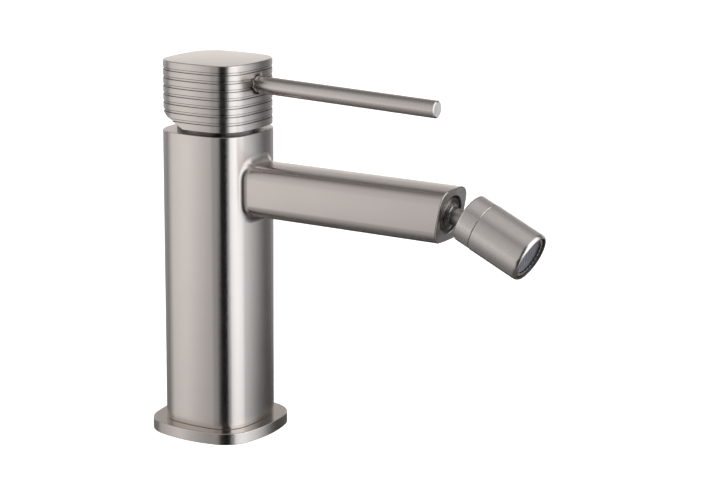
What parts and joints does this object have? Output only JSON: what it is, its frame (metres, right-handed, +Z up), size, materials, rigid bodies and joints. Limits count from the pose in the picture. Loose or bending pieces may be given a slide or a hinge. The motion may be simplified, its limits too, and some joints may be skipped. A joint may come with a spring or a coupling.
{
  "type": "bidet mixer",
  "caption": "Single-lever deck-mounted bidet mixer with a square bowed tower, a grooved square handle with a thin rod lever, and a straight spout ending in a ball-jointed aerator nozzle.",
  "frame": {"origin": "centre of the base plate's underside, on the tower's axis", "axes": "+Z up along the tower; the spout and the lever point along -Y; +X is the mixer's right side seen from behind it"},
  "size_m": [0.0514, 0.1752, 0.1575],
  "materials": {
    "brushed_nickel": "brushed nickel, fine horizontal and lengthwise grain",
    "dark_nickel": "dark nickel, satin",
    "brass": "raw turned brass",
    "steel": "stainless steel, turned",
    "rubber": "black rubber",
    "ceramic": "ground alumina ceramic",
    "acetal": "white acetal",
    "aerator_grey": "grey moulded plastic"
  },
  "bodies": {
    "mixer": {"mixer_body": "brushed_nickel", "base_flange": "brushed_nickel", "base_gasket": "rubber", "cover_ring": "dark_nickel", "cartridge_nut": "brass", "cartridge_housing": "acetal", "cartridge_base": "acetal", "inlet_seals": "rubber", "outlet_seal": "rubber", "fixed_disc": "ceramic", "ball_stud": "dark_nickel", "stud_seal": "rubber"},
    "stem_guide": {"rotor": "acetal", "stem_pin": "steel"},
    "lever": {"lever_stem": "steel", "handle_block": "brushed_nickel", "lever_rod": "brushed_nickel"},
    "mixing_disc": {"moving_disc": "ceramic", "disc_carrier": "acetal"},
    "swivel_pan": {"ball_liner": "acetal"},
    "swivel_tilt": {"ball_seal": "rubber"},
    "nozzle": {"nozzle_collar": "brushed_nickel", "nozzle_sleeve": "brushed_nickel", "aerator_seal": "rubber", "aerator_housing": "aerator_grey", "aerator_insert": "acetal", "aerator_mesh": "steel"}
  },
  "joints": [
    {"name": "temperature_turn", "type": "hinge", "parent": "mixer", "child": "stem_guide", "pos_m": [0, 0, 0.13], "axis": [0, 0, 1], "range_deg": [-45, 45]},
    {"name": "lever_lift", "type": "hinge", "parent": "stem_guide", "child": "lever", "pos_m": [0, 0, 0.13], "axis": [-1, 0, 0], "range_deg": [0, 22]},
    {"name": "disc_slide", "type": "slide", "parent": "stem_guide", "child": "mixing_disc", "axis": [0, -1, 0], "range_m": [0, 0.00302]},
    {"name": "nozzle_pan", "type": "hinge", "parent": "mixer", "child": "swivel_pan", "pos_m": [0, -0.12358, 0.10294], "axis": [0, -0.1805, 0.9836], "range_deg": [-15, 15]},
    {"name": "nozzle_tilt", "type": "hinge", "parent": "swivel_pan", "child": "swivel_tilt", "pos_m": [0, -0.12358, 0.10294], "axis": [1, 0, 0], "range_deg": [-34, 5]},
    {"name": "nozzle_spin", "type": "hinge", "parent": "swivel_tilt", "child": "nozzle", "pos_m": [0, -0.12358, 0.10294], "axis": [0, -0.9063, -0.4226], "continuous": true}
  ],
  "couplings": [
    {"joint": "disc_slide", "follows": "lever_lift", "m_per_rad": 0.0078049}
  ]
}
